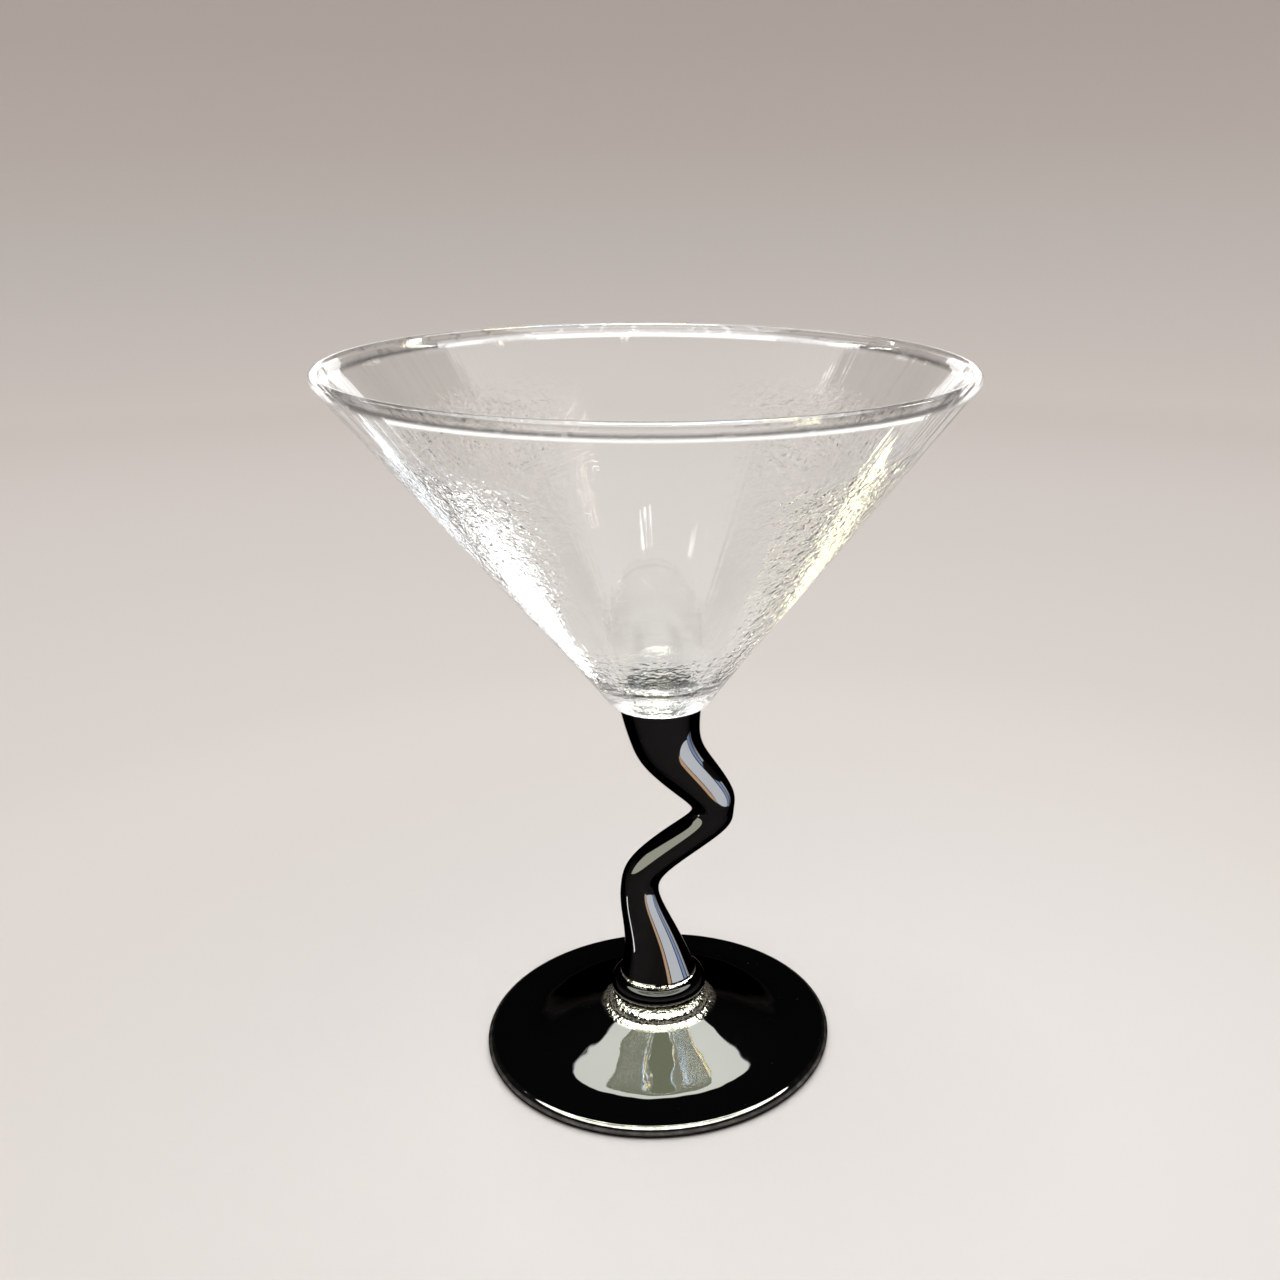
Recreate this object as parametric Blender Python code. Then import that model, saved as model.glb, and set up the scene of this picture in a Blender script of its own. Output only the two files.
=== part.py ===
"""Cocktail glass with a black zigzag stem: a clear conical bowl, a bent black stem,
a black weld collar and a black trumpet-shaped foot. Metres, +Z up, origin at the centre
of the ring that the foot stands on."""

import math

import bmesh
import bpy

MM = 0.001

# ---- driving dimensions -------------------------------------------------------------
JOINT_GAP = 0.3 * MM          # left open at each fused joint, so that the solids stay apart

# foot: a pressed disc that rises to a seat in the middle and is hollowed underneath
FOOT_RADIUS = 35.0 * MM
FOOT_EDGE_THICKNESS = 2.4 * MM
FOOT_RISE = 7.4 * MM          # from the top of the edge to the seat
FOOT_CONE_SHARE = 0.36        # how far in from the edge, towards the bead, the cone starts
FOOT_CONE_BLEND = 1.6 * MM    # how softly it turns
FOOT_BEAD_ROUND = 1.7 * MM    # rounding of the bead between the cone and the seat
FOOT_SEAT_MARGIN = 0.7 * MM   # the seat is this much wider than the collar's flat
FOOT_STANDING_WIDTH = 3.6 * MM  # width of the flat ring it stands on
FOOT_HOLLOW_DEPTH = 2.4 * MM

# collar: the bead of glass that welds the stem to the foot
COLLAR_HEIGHT = 4.4 * MM
COLLAR_EDGE_ROUND = 1.6 * MM
COLLAR_MARGIN = 0.2 * MM      # the collar's flats are this much wider than the stem's end

# stem: a rod bent twice in the XZ plane, flared at both ends
STEM_LENGTH = 58.5 * MM
STEM_TOP_RADIUS = 7.9 * MM
STEM_BASE_RADIUS = 7.7 * MM
STEM_TOP_OFFSET = 1.0 * MM    # the stem's top is this far out of line with its base
ROD_RADIUS = 3.65 * MM
TOP_FLARE_POWER = 0.9
BASE_FLARE_POWER = 1.8
LOWER_NECK_HEIGHT = 7.2 * MM   # the heights of the bends are above the stem's base
LOWER_NECK_ROUND = 8.3 * MM
LOWER_BEND_HEIGHT = 21.8 * MM
LOWER_BEND_REACH = 8.2 * MM    # towards -X
LOWER_BEND_ROUND = 5.5 * MM
UPPER_BEND_HEIGHT = 35.5 * MM
UPPER_BEND_REACH = 13.3 * MM   # towards +X
UPPER_BEND_ROUND = 2.6 * MM
UPPER_NECK_DROP = 9.8 * MM      # below the stem's top
UPPER_NECK_REACH = 0.5 * MM
UPPER_NECK_ROUND = 4.5 * MM

# bowl: a straight cone on a thick clear button
RIM_RADIUS = 58.0 * MM
BOWL_HEIGHT = 64.3 * MM
LIP_RADIUS = 1.15 * MM         # of the rounded lip
WALL = 1.9 * MM
FLOOR_THICKNESS = 5.5 * MM
FLOOR_FILLET = 9.0 * MM
BUTTON_SEAT_MARGIN = 0.5 * MM  # the flat under the button is this much wider than the stem
BUTTON_EDGE_ROUND = 1.8 * MM
BUTTON_HEIGHT = 5.5 * MM       # where the steeper button meets the cone
BUTTON_TOP_RADIUS = 13.3 * MM

# ---- sizes and levels that follow ----------------------------------------------------
COLLAR_FLAT_RADIUS = max(STEM_BASE_RADIUS, ROD_RADIUS) + COLLAR_MARGIN
FOOT_SEAT_RADIUS = COLLAR_FLAT_RADIUS + FOOT_SEAT_MARGIN
BUTTON_SEAT_RADIUS = STEM_TOP_RADIUS + BUTTON_SEAT_MARGIN
FOOT_SEAT_Z = FOOT_EDGE_THICKNESS + FOOT_RISE
FOOT_BEAD_RADIUS = FOOT_SEAT_RADIUS + FOOT_BEAD_ROUND
COLLAR_Z = FOOT_SEAT_Z + JOINT_GAP
STEM_Z = COLLAR_Z + COLLAR_HEIGHT + JOINT_GAP
BOWL_Z = STEM_Z + STEM_LENGTH + JOINT_GAP

# ---- facets --------------------------------------------------------------------------
TURNED_STEPS = 72
COLLAR_STEPS = 48
STEM_STEPS = 28
STEM_SECTIONS = 48
FOOT_POINTS = 14     # along the foot's upper face, and along its hollow
ARC_POINTS = 6


def arc(centre_r, centre_z, radius, start_deg, end_deg, count=ARC_POINTS):
    """Points on a circular arc in the (r, z) plane, ends included."""
    step = (end_deg - start_deg) / count
    angles = [math.radians(start_deg + step * i) for i in range(count + 1)]
    return [(centre_r + radius * math.cos(a), centre_z + radius * math.sin(a)) for a in angles]


def glass(name, colour, roughness, transmission):
    """A Principled glass in one colour."""
    material = bpy.data.materials.new(name)
    material.use_nodes = True
    shader = material.node_tree.nodes["Principled BSDF"]
    shader.inputs["Base Color"].default_value = (*colour, 1.0)
    shader.inputs["Roughness"].default_value = roughness
    shader.inputs["Metallic"].default_value = 0.0
    shader.inputs["IOR"].default_value = 1.5
    shader.inputs["Transmission Weight"].default_value = transmission
    return material


def add_object(name, mesh_editor, material):
    """Turns a finished bmesh into a named, smooth-shaded object."""
    bmesh.ops.recalc_face_normals(mesh_editor, faces=mesh_editor.faces)
    mesh = bpy.data.meshes.new(name)
    mesh_editor.to_mesh(mesh)
    mesh_editor.free()
    mesh.materials.append(material)
    mesh.shade_smooth()
    mesh.set_sharp_from_angle(angle=math.radians(40))
    thing = bpy.data.objects.new(name, mesh)
    bpy.context.scene.collection.objects.link(thing)
    return thing


def turned(name, profile, level, steps, material):
    """A solid of revolution about Z. The profile runs from the axis round to the axis again."""
    shape = bmesh.new()
    verts = [shape.verts.new((r, 0.0, z)) for r, z in profile]
    edges = [shape.edges.new(pair) for pair in zip(verts, verts[1:])]
    bmesh.ops.spin(shape, geom=verts + edges, cent=(0, 0, 0), axis=(0, 0, 1),
                   angle=math.tau, steps=steps, use_merge=True, use_duplicate=False)
    bmesh.ops.remove_doubles(shape, verts=shape.verts, dist=1e-6)
    thing = add_object(name, shape, material)
    thing.location.z = level
    return thing


def foot_top(radius):
    """Height of the foot's upper face: a level brim, then a cone up to the side of the bead."""
    edge_start = FOOT_RADIUS - FOOT_EDGE_THICKNESS / 2
    cone_start = edge_start - FOOT_CONE_SHARE * (edge_start - FOOT_BEAD_RADIUS)

    def bend(at):
        return (cone_start - at + math.hypot(cone_start - at, FOOT_CONE_BLEND)) / 2

    share = (bend(radius) - bend(edge_start)) / (bend(FOOT_BEAD_RADIUS) - bend(edge_start))
    return FOOT_EDGE_THICKNESS + (FOOT_RISE - FOOT_BEAD_ROUND) * share


def make_foot(material):
    """Hollow underside, standing ring, rounded edge, then the upper face up to the seat."""
    edge_round = FOOT_EDGE_THICKNESS / 2
    edge_start = FOOT_RADIUS - edge_round
    hollow_radius = edge_start - FOOT_STANDING_WIDTH
    under = []
    for i in range(FOOT_POINTS):
        share = i / FOOT_POINTS
        under.append((hollow_radius * share, FOOT_HOLLOW_DEPTH * math.cos(math.pi / 2 * share)))
    edge = arc(edge_start, edge_round, edge_round, -90, 90)
    top = []
    for i in range(1, FOOT_POINTS + 1):
        radius = edge_start + (FOOT_BEAD_RADIUS - edge_start) * i / FOOT_POINTS
        top.append((radius, foot_top(radius)))
    top += arc(FOOT_SEAT_RADIUS, FOOT_SEAT_Z - FOOT_BEAD_ROUND, FOOT_BEAD_ROUND, 0, 90)[1:]
    profile = under + [(hollow_radius, 0.0)] + edge + top + [(0.0, FOOT_SEAT_Z)]
    return turned("foot", profile, 0.0, TURNED_STEPS, material)


def make_collar(material):
    """A squat disc with rounded edges."""
    low = arc(COLLAR_FLAT_RADIUS, COLLAR_EDGE_ROUND, COLLAR_EDGE_ROUND, -90, 0)
    high_z = COLLAR_HEIGHT - COLLAR_EDGE_ROUND
    high = arc(COLLAR_FLAT_RADIUS, high_z, COLLAR_EDGE_ROUND, 0, 90)
    profile = [(0.0, 0.0)] + low + high + [(0.0, COLLAR_HEIGHT)]
    return turned("collar", profile, COLLAR_Z, COLLAR_STEPS, material)


def stem_corners():
    """(height, offset, rounding) of the corners of the bent centreline, base first."""
    return [
        (0.0, 0.0, 0.0),
        (LOWER_NECK_HEIGHT, 0.0, LOWER_NECK_ROUND),
        (LOWER_BEND_HEIGHT, -LOWER_BEND_REACH, LOWER_BEND_ROUND),
        (UPPER_BEND_HEIGHT, UPPER_BEND_REACH, UPPER_BEND_ROUND),
        (STEM_LENGTH - UPPER_NECK_DROP, UPPER_NECK_REACH, UPPER_NECK_ROUND),
        (STEM_LENGTH, UPPER_NECK_REACH, 0.0),
    ]


def stem_line(height):
    """Offset and slope of the centreline: straight runs joined by a hyperbola at each corner."""
    corners = stem_corners()
    slopes = [(b[1] - a[1]) / (b[0] - a[0]) for a, b in zip(corners, corners[1:])]
    offset = slopes[0] * height
    slope = slopes[0]
    for corner, before, after in zip(corners[1:-1], slopes, slopes[1:]):
        past = height - corner[0]
        reach = math.hypot(past, corner[2])
        offset += (after - before) * (past + reach) / 2
        slope += (after - before) * (1 + past / reach) / 2
    return offset, slope


def stem_radius(height):
    """The rod's radius: even between the bends, flared towards both joints."""
    up = max(0.0, (height - UPPER_BEND_HEIGHT) / (STEM_LENGTH - UPPER_BEND_HEIGHT))
    down = max(0.0, (LOWER_BEND_HEIGHT - height) / LOWER_BEND_HEIGHT)
    top_flare = (STEM_TOP_RADIUS - ROD_RADIUS) * up ** TOP_FLARE_POWER
    base_flare = (STEM_BASE_RADIUS - ROD_RADIUS) * down ** BASE_FLARE_POWER
    return ROD_RADIUS + top_flare + base_flare


def make_stem(material):
    """Level elliptical sections of a round rod, bridged from the base to the top."""
    base_error = stem_line(0.0)[0]
    top_error = stem_line(STEM_LENGTH)[0] - STEM_TOP_OFFSET
    shape = bmesh.new()
    rings = []
    for i in range(STEM_SECTIONS + 1):
        share = i / STEM_SECTIONS
        offset, slope = stem_line(STEM_LENGTH * share)
        offset -= base_error + (top_error - base_error) * share
        radius = stem_radius(STEM_LENGTH * share)
        half_width = radius * math.hypot(1.0, slope)
        ring = []
        for k in range(STEM_STEPS):
            angle = math.tau * k / STEM_STEPS
            ring.append(shape.verts.new((offset + half_width * math.cos(angle),
                                         radius * math.sin(angle), STEM_LENGTH * share)))
        rings.append([shape.edges.new((ring[k], ring[k - 1])) for k in range(STEM_STEPS)])
        if i in (0, STEM_SECTIONS):
            shape.faces.new(ring)
    for lower, upper in zip(rings, rings[1:]):
        bmesh.ops.bridge_loops(shape, edges=lower + upper)
    thing = add_object("stem", shape, material)
    thing.location.z = STEM_Z
    return thing


def button_outline():
    """The rounded edge and the steep side under the cone, bottom to top."""
    round_z = BUTTON_EDGE_ROUND
    steepness = math.atan2(BUTTON_TOP_RADIUS - BUTTON_SEAT_RADIUS - BUTTON_EDGE_ROUND,
                           BUTTON_HEIGHT - round_z)
    edge = arc(BUTTON_SEAT_RADIUS, round_z, BUTTON_EDGE_ROUND, -90, -math.degrees(steepness), 4)
    return edge + [(BUTTON_TOP_RADIUS, BUTTON_HEIGHT)]


def make_bowl(material):
    """Button, outer cone, rounded lip, inner cone and filleted floor as one turned profile."""
    lip_r = RIM_RADIUS - LIP_RADIUS
    lip_z = BOWL_HEIGHT - LIP_RADIUS
    # the outer wall runs from the button to the lip's circle and touches it
    cone = math.atan2(lip_r - BUTTON_TOP_RADIUS, lip_z - BUTTON_HEIGHT)
    cone += math.asin(LIP_RADIUS / math.hypot(lip_r - BUTTON_TOP_RADIUS, lip_z - BUTTON_HEIGHT))
    out_r = math.cos(cone)      # outwards, square to the wall
    out_z = -math.sin(cone)
    lip = arc(lip_r, lip_z, LIP_RADIUS, -math.degrees(cone), 180 - math.degrees(cone), 10)
    inner_r = lip[0][0] - WALL * out_r
    inner_z = lip[0][1] - WALL * out_z
    # a fillet blends the inner cone into a level floor
    fillet_z = FLOOR_THICKNESS + FLOOR_FILLET
    cone_r = inner_r - (inner_z - fillet_z) * math.tan(cone)
    fillet_r = max(0.0, cone_r - FLOOR_FILLET / math.cos(cone))
    floor = arc(fillet_r, fillet_z, FLOOR_FILLET, -math.degrees(cone), -90, 8)
    profile = [(0.0, 0.0)] + button_outline() + lip + [(inner_r, inner_z)] + floor
    profile.append((0.0, FLOOR_THICKNESS))
    thing = turned("bowl", profile, BOWL_Z, TURNED_STEPS, material)
    # the button sits over the stem's top and the rim over the foot, so the cone leans a little
    for vert in thing.data.vertices:
        vert.co.x += STEM_TOP_OFFSET * (1 - vert.co.z / BOWL_HEIGHT)
    return thing


def main():
    for thing in list(bpy.context.scene.objects):
        bpy.data.objects.remove(thing)
    clear = glass("clear_glass", (0.97, 0.98, 0.97), 0.02, 1.0)
    black = glass("black_glass", (0.006, 0.006, 0.007), 0.04, 0.0)
    make_foot(black)
    make_collar(black)
    make_stem(black)
    make_bowl(clear)


main()
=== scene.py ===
# %% [markdown]
# # A martini glass with a black zigzag stem
# The real object is four gathers of glass fused into one: a clear conical bowl, a bent black
# stem, a black bead that welds the stem to the foot, and a pressed black foot.
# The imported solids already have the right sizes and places, but their facets are coarse, and
# glass shows every facet twice: once in what it reflects and once in what it bends. So each
# solid gets a fine stand-in here, worked out from the same few sizes.

# %% Load the frame
import math

import bpy
import numpy as np
from mathutils import Matrix, Vector


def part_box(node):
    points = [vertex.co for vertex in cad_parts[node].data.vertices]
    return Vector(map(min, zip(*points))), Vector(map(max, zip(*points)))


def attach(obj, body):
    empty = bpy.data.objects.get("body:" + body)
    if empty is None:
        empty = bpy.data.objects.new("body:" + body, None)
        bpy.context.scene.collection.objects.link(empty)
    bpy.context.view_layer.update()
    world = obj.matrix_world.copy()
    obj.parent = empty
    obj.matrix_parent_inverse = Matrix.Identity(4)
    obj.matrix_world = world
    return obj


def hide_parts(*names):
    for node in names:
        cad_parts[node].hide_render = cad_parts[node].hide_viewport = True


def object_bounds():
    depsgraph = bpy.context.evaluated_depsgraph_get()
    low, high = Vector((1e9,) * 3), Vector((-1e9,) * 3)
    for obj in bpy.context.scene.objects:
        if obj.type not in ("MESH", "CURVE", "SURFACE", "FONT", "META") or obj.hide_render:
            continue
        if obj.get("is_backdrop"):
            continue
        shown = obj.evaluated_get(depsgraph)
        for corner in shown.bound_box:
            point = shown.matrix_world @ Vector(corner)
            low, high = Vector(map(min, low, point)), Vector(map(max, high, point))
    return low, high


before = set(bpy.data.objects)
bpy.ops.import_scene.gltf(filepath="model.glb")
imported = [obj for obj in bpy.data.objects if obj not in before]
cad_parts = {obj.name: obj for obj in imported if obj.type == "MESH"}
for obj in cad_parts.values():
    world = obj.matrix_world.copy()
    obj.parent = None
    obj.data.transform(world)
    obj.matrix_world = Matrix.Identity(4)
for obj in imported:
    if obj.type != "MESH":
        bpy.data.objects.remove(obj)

cad_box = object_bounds()
MM = 0.001                           # every length below is in metres; MM turns it to millimetres
bowl_low, bowl_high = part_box("bowl")
stem_low, stem_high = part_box("stem")
collar_low, collar_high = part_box("collar")
foot_low, foot_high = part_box("foot")


def in_mm(length):
    """A length in millimetres, rounded for printing."""
    return round(length / MM, 2)


print("foot from", in_mm(foot_low.z), "to", in_mm(foot_high.z), "mm up")
print("bowl from", in_mm(bowl_low.z), "to", in_mm(bowl_high.z), "mm up")
print("foot", in_mm(foot_high.x), "and collar", in_mm(collar_high.x), "mm in radius")

# %% [markdown]
# ## The camera
# The glass is seen from a little above the rim, close by, as someone sitting at the table sees
# it. A camera's rotation can be typed in as Euler angles, but here it is built from the yaw,
# pitch and roll of a tripod head, because those are the numbers one would read off the head.

# %% Camera sizes
CAMERA_PLACE = Vector((0.0, -253.3 * MM, 174.6 * MM))
CAMERA_NEAR = 0.01                   # metres; nothing closer than this is drawn
CAMERA_YAW = math.radians(4.25)      # to the right of straight ahead
CAMERA_PITCH = math.radians(19.88)   # down
CAMERA_ROLL = math.radians(0.69)
LENS = 40.06                         # millimetres, on a 36 mm sensor
SHIFT = (-0.0890, 0.0118)            # the glass stands a little left of the lens's axis

# %% Tripod head
forward = Vector((math.sin(CAMERA_YAW) * math.cos(CAMERA_PITCH),
                  math.cos(CAMERA_YAW) * math.cos(CAMERA_PITCH),
                  -math.sin(CAMERA_PITCH)))
level_right = Vector((math.cos(CAMERA_YAW), -math.sin(CAMERA_YAW), 0.0))
level_up = level_right.cross(forward)
right = level_right * math.cos(CAMERA_ROLL) + level_up * math.sin(CAMERA_ROLL)
up = level_up * math.cos(CAMERA_ROLL) - level_right * math.sin(CAMERA_ROLL)
print("camera looks along", [round(v, 3) for v in forward])

# %% Camera in place
camera_data = bpy.data.cameras.new("table_camera")
camera_data.lens = LENS
camera_data.shift_x, camera_data.shift_y = SHIFT
camera_data.clip_start = CAMERA_NEAR
camera = bpy.data.objects.new("table_camera", camera_data)
axes = Matrix((right, up, -forward)).transposed().to_4x4()
camera.matrix_world = Matrix.Translation(CAMERA_PLACE) @ axes
bpy.context.scene.collection.objects.link(camera)
bpy.context.scene.camera = camera
print("camera is", round(CAMERA_PLACE.length, 3), "m from the foot's centre")

# %% [markdown]
# ## Surfaces as grids
# Turned glass could be made with the Screw modifier, and a rod with a bevelled curve. A grid of
# points worked out with numpy does both jobs, and every point can then be nudged by a formula,
# which is how the slight unevenness of hand-finished glass gets in. A grid is a list of rings,
# each ring a closed loop of points, and the two ends are closed with a fan to one pole.

# %% Grid helpers
def arc(centre_r, centre_z, radius, start_deg, end_deg, count):
    """Points (r, z) = centre + radius (cos a, sin a), for angles a from start to end."""
    angle = np.radians(np.linspace(start_deg, end_deg, count))
    return np.stack([centre_r + radius * np.cos(angle), centre_z + radius * np.sin(angle)], 1)


def line(start, end, count):
    """Points evenly spaced from start to end, without the two ends."""
    share = np.linspace(0.0, 1.0, count + 2)[1:-1, None]
    return np.array(start) * (1 - share) + np.array(end) * share


def ring_angles(steps):
    """One turn in equal steps, as a row."""
    return np.arange(steps)[None, :] * (math.tau / steps)


def turned(profile, steps):
    """Point (i, j) = (r_i cos a_j, r_i sin a_j, z_i), for the profile's points and one turn."""
    angle = ring_angles(steps)
    radius = profile[:, :1]
    height = np.repeat(profile[:, 1:], steps, axis=1)
    return np.stack([radius * np.cos(angle), radius * np.sin(angle), height], axis=2)


def grid_object(name, rings, first_pole, last_pole):
    """Joins ring i to ring i + 1 with quads, and closes each end with a fan to its pole.
    Rings run anticlockwise seen from above, the first one lies on the underside and the last
    one on the upper side, so every face points outwards."""
    count, steps, _ = rings.shape
    index = np.arange(count * steps).reshape(count, steps)
    after = np.roll(index, -1, axis=1)
    quads = np.stack([index[:-1], after[:-1], after[1:], index[1:]], axis=2).reshape(-1, 4)
    first, last = count * steps, count * steps + 1
    low = np.stack([np.full(steps, first), after[0], index[0]], axis=1)
    high = np.stack([np.full(steps, last), index[-1], after[-1]], axis=1)
    points = np.vstack([rings.reshape(-1, 3), first_pole, last_pole])
    mesh = bpy.data.meshes.new(name)
    mesh.from_pydata(points.tolist(), [], quads.tolist() + low.tolist() + high.tolist())
    mesh.validate()
    mesh.shade_smooth()
    thing = bpy.data.objects.new(name, mesh)
    bpy.context.scene.collection.objects.link(thing)
    print(name, len(mesh.vertices), "points,", len(mesh.polygons), "faces")
    return thing


# %% [markdown]
# ## The unevenness of a hand-finished surface
# Nothing made in a flame is quite round. A Displace modifier with a noise texture would roughen
# the glass like plaster. Real glass is out of true in long, smooth swells, so a few sine waves
# are added up, each with its own number of turns round the piece.

# %% Unevenness
def unevenness(rings, waves):
    """Sum over waves of size * sin(turns * a + lean * z + phase): the dents, swells and drag
    lines that a hand-finished surface keeps. a is the angle about Z, z the height."""
    angle = np.arctan2(rings[..., 1], rings[..., 0])
    total = np.zeros(angle.shape)
    for size, turns, lean, phase in waves:
        total += size * np.sin(turns * angle + lean * rings[..., 2] + phase)
    return total


# %% [markdown]
# ## The bowl
# A pressed cone with a fire-polished lip, standing on a thick clear button. The light bends
# at every surface of it, so the bowl must be a true solid with an outer wall, a rounded lip, an
# inner wall and a thick floor, not a sheet with a Solidify on it: the floor is much thicker
# than the wall, and it is what makes the button glow. The profile starts under the button, goes
# up the outside, over the lip, and down the inside to the floor.

# %% Bowl sizes
WALL = 1.9 * MM
LIP_RADIUS = 1.15 * MM
BUTTON_SEAT_RADIUS = 8.4 * MM
BUTTON_EDGE_ROUND = 1.8 * MM
BUTTON_TOP = (13.3 * MM, 5.5 * MM)   # radius and height where button and cone meet
FLOOR_THICKNESS = 5.5 * MM
FLOOR_FILLET = 9.0 * MM
BLEND = 0.8 * MM                     # how softly the button's side turns into the cone

bowl_height = bowl_high.z - bowl_low.z
HAIR = 0.001 * MM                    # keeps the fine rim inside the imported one's box
rim_radius = (bowl_high.y - bowl_low.y) / 2 - HAIR
lip_r, lip_z = rim_radius - LIP_RADIUS, bowl_height - LIP_RADIUS
cone = math.atan2(lip_r - BUTTON_TOP[0], lip_z - BUTTON_TOP[1])
cone += math.asin(LIP_RADIUS / math.hypot(lip_r - BUTTON_TOP[0], lip_z - BUTTON_TOP[1]))
print("the cone leans out", round(math.degrees(cone), 1), "degrees from upright")

# %% Bowl profile
SEAT_POINTS = 12                     # points along each stretch of the profile
EDGE_POINTS = 14
OUTER_POINTS = 72
LIP_POINTS = 32
INNER_POINTS = 60
FILLET_POINTS = 28
FLOOR_POINTS = 8


def bowl_profile():
    """Seat, rounded edge, steep button side, cone, lip, inner cone, filleted floor."""
    seat = line((0.0, 0.0), (BUTTON_SEAT_RADIUS, 0.0), SEAT_POINTS)
    steep = math.atan2(BUTTON_TOP[0] - BUTTON_SEAT_RADIUS - BUTTON_EDGE_ROUND,
                       BUTTON_TOP[1] - BUTTON_EDGE_ROUND)
    edge = arc(BUTTON_SEAT_RADIUS, BUTTON_EDGE_ROUND, BUTTON_EDGE_ROUND,
               -90, -math.degrees(steep), EDGE_POINTS)
    lip = arc(lip_r, lip_z, LIP_RADIUS,
              -math.degrees(cone), 180 - math.degrees(cone), LIP_POINTS)
    # two straight sides joined by a hyperbola: r = line + bend * (past + |past|) / 2, softened
    height = np.linspace(edge[-1, 1], lip[0, 1], OUTER_POINTS)[1:-1]
    past = height - BUTTON_TOP[1]
    lower = (BUTTON_TOP[0] - edge[-1, 0]) / (BUTTON_TOP[1] - edge[-1, 1])
    side = BUTTON_TOP[0] + lower * past
    side += (math.tan(cone) - lower) * (past + np.hypot(past, BLEND)) / 2
    outer = np.stack([side, height], 1)
    inner_top = (lip[0, 0] - WALL * math.cos(cone), lip[0, 1] + WALL * math.sin(cone))
    fillet_z = FLOOR_THICKNESS + FLOOR_FILLET
    cone_r = inner_top[0] - (inner_top[1] - fillet_z) * math.tan(cone)
    fillet_r = max(0.0, cone_r - FLOOR_FILLET / math.cos(cone))
    fillet = arc(fillet_r, fillet_z, FLOOR_FILLET, -math.degrees(cone), -90, FILLET_POINTS)
    inner = line(inner_top, fillet[0], INNER_POINTS)
    floor = line(fillet[-1], (0.0, FLOOR_THICKNESS), FLOOR_POINTS)
    return np.vstack([seat, edge, outer, lip, inner, fillet, floor])


profile = bowl_profile()
print("the bowl's profile has", len(profile), "points")

# %% Bowl
BOWL_STEPS = 288
BOWL_LEAN = 1.0 * MM     # the button stands this far towards +X of the rim's centre
BOWL_WAVES = [           # size in metres, turns, lean per metre, phase
    (0.016 * MM, 3, 20.0, 0.4),
    (0.010 * MM, 7, -35.0, 1.9),
    (0.006 * MM, 13, 60.0, 0.7),
    (0.004 * MM, 21, -90.0, 2.6),
]
BUTTON_FADE = 6 * MM     # the waves die out over these lengths, towards the button and the lip
LIP_FADE = 4 * MM

bowl_rings = turned(profile, BOWL_STEPS)
radius = np.hypot(bowl_rings[..., 0], bowl_rings[..., 1])
fade = np.clip((radius - BUTTON_SEAT_RADIUS) / BUTTON_FADE, 0, 1)
fade *= np.clip((lip_z - bowl_rings[..., 2]) / LIP_FADE, 0, 1)
stretch = 1 + unevenness(bowl_rings, BOWL_WAVES) * fade / np.maximum(radius, MM)
bowl_rings[..., :2] *= stretch[..., None]
lean = BOWL_LEAN * (1 - bowl_rings[..., 2] / bowl_height)
bowl_rings[..., 0] += lean
bowl_rings[..., 2] += bowl_low.z
bowl = grid_object("clear_bowl", bowl_rings, (BOWL_LEAN, 0, bowl_low.z),
                   (BOWL_LEAN * (1 - FLOOR_THICKNESS / bowl_height), 0,
                    bowl_low.z + FLOOR_THICKNESS))

# %% [markdown]
# ## The stem
# A glass rod, bent twice while soft. Its centre line stays in one plane, so it can be written
# as an offset for every height: straight runs, with each corner rounded by a hyperbola. At each
# height the rod is cut level, and a level cut through a slanting round rod is an ellipse that is
# wider by the square root of 1 + slope squared. That way the bends crease on their inner side,
# as bent glass does.

# %% Stem sizes
STEM_LENGTH = stem_high.z - stem_low.z
STEM_TOP_RADIUS = 7.9 * MM
STEM_BASE_RADIUS = 7.7 * MM
ROD_RADIUS = 3.65 * MM
TOP_FLARE_POWER = 0.9
BASE_FLARE_POWER = 1.8
LOWER_BEND = 21.8 * MM               # heights above the stem's base
UPPER_BEND = 35.5 * MM
STEM_CORNERS = [                     # height, offset towards +X, rounding
    (0.0, 0.0, 0.0),
    (7.2 * MM, 0.0, 8.3 * MM),
    (LOWER_BEND, -8.2 * MM, 5.5 * MM),
    (UPPER_BEND, 13.3 * MM, 2.6 * MM),
    (STEM_LENGTH - 9.8 * MM, 0.5 * MM, 4.5 * MM),
    (STEM_LENGTH, 0.5 * MM, 0.0),
]
STEM_STEPS = 112
STEM_SECTIONS = 320
height = np.linspace(0.0, STEM_LENGTH, STEM_SECTIONS)
print("the stem is", in_mm(STEM_LENGTH), "mm long, in", STEM_SECTIONS, "sections")


# %% Stem centre line
def stem_line(height):
    """Offset and slope of the centre line: offset = first run + sum over the corners of
    (change of slope) * (past + sqrt(past^2 + rounding^2)) / 2, past being height - corner."""
    slopes = [(b[1] - a[1]) / (b[0] - a[0]) for a, b in zip(STEM_CORNERS, STEM_CORNERS[1:])]
    offset = slopes[0] * height
    slope = np.full_like(height, slopes[0])
    for corner, before, after in zip(STEM_CORNERS[1:-1], slopes, slopes[1:]):
        past = height - corner[0]
        reach = np.hypot(past, corner[2])
        offset = offset + (after - before) * (past + reach) / 2
        slope = slope + (after - before) * (1 + past / reach) / 2
    return offset, slope


offset, slope = stem_line(height)
share = height / STEM_LENGTH
offset = offset - offset[0] - (offset[-1] - offset[0] - BOWL_LEAN) * share
print("the bends reach from", in_mm(offset.min()), "to", in_mm(offset.max()), "mm")

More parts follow.
